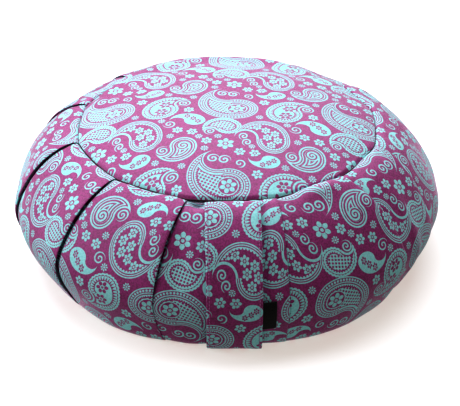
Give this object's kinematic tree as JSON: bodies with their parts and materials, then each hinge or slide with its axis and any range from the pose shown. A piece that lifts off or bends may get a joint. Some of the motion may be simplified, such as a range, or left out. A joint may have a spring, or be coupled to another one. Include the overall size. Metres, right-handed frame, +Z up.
{
  "type": "zafu meditation cushion",
  "caption": "Round filled sitting cushion with a softly crowned top panel, a knife-pleated side band, a flat base and a strap handle sewn over the side.",
  "frame": {"origin": "on the floor under the middle of the cushion, at the centre of its flat base", "axes": "+Z up through the crowned top panel, -Y towards the carrying handle, +X towards the label's side of the handle"},
  "size_m": [0.4195, 0.4212, 0.147],
  "materials": {
    "printed_cotton": "matt cotton, magenta with an aqua paisley print",
    "woven_label": "black woven tape, bare"
  },
  "bodies": {
    "root": {"cushion": "printed_cotton", "top_panel": "printed_cotton", "bottom_panel": "printed_cotton", "handle": "printed_cotton", "label": "woven_label"}
  },
  "joints": []
}
